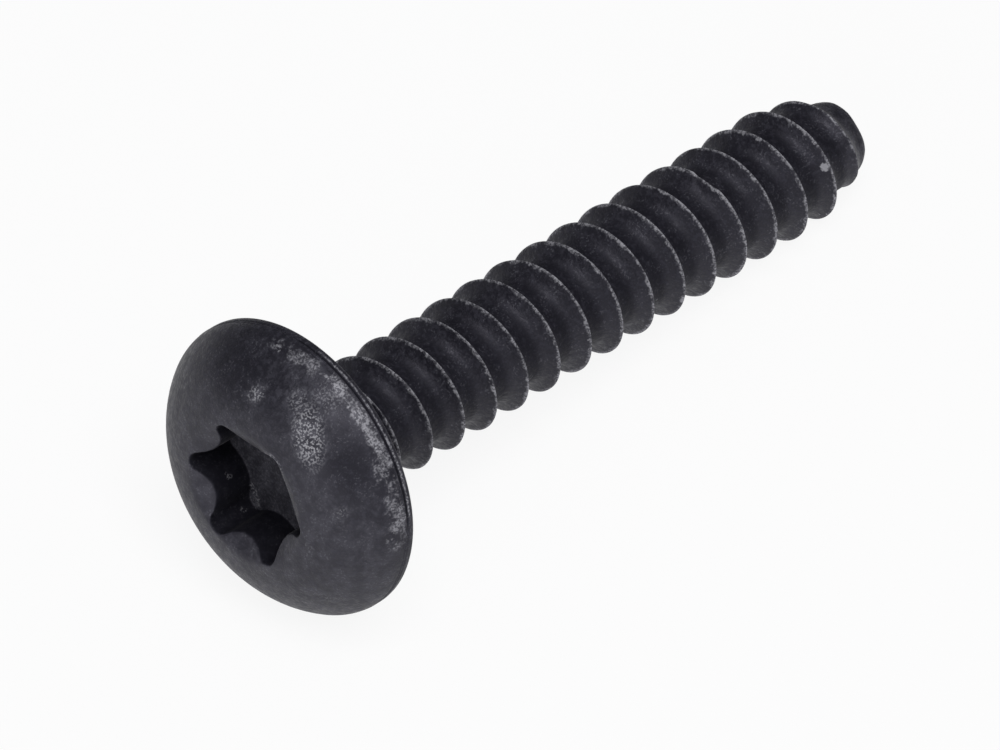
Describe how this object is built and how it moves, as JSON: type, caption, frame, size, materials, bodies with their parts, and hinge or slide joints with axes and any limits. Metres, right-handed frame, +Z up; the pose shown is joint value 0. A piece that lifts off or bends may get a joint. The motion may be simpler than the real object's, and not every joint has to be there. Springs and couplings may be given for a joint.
{
  "type": "sheet metal screw",
  "caption": "Black thread-forming screw with a domed truss head, a lobed drive recess, a coarse spaced thread up to the head and a blunt tapered end.",
  "frame": {"origin": "centre of the bottom of the screw's box as it lies at rest, on the surface that it lies on", "axes": "+Z up, +X from the head to the blunt end, which leans down by 7.4 degrees, +Y across"},
  "size_m": [0.0268, 0.0096, 0.0096],
  "materials": {
    "blackened_steel": "satin black oxide, worn on the rim, the crests and in small patches of the crown"
  },
  "bodies": {
    "root": {"screw": "blackened_steel"}
  },
  "joints": []
}
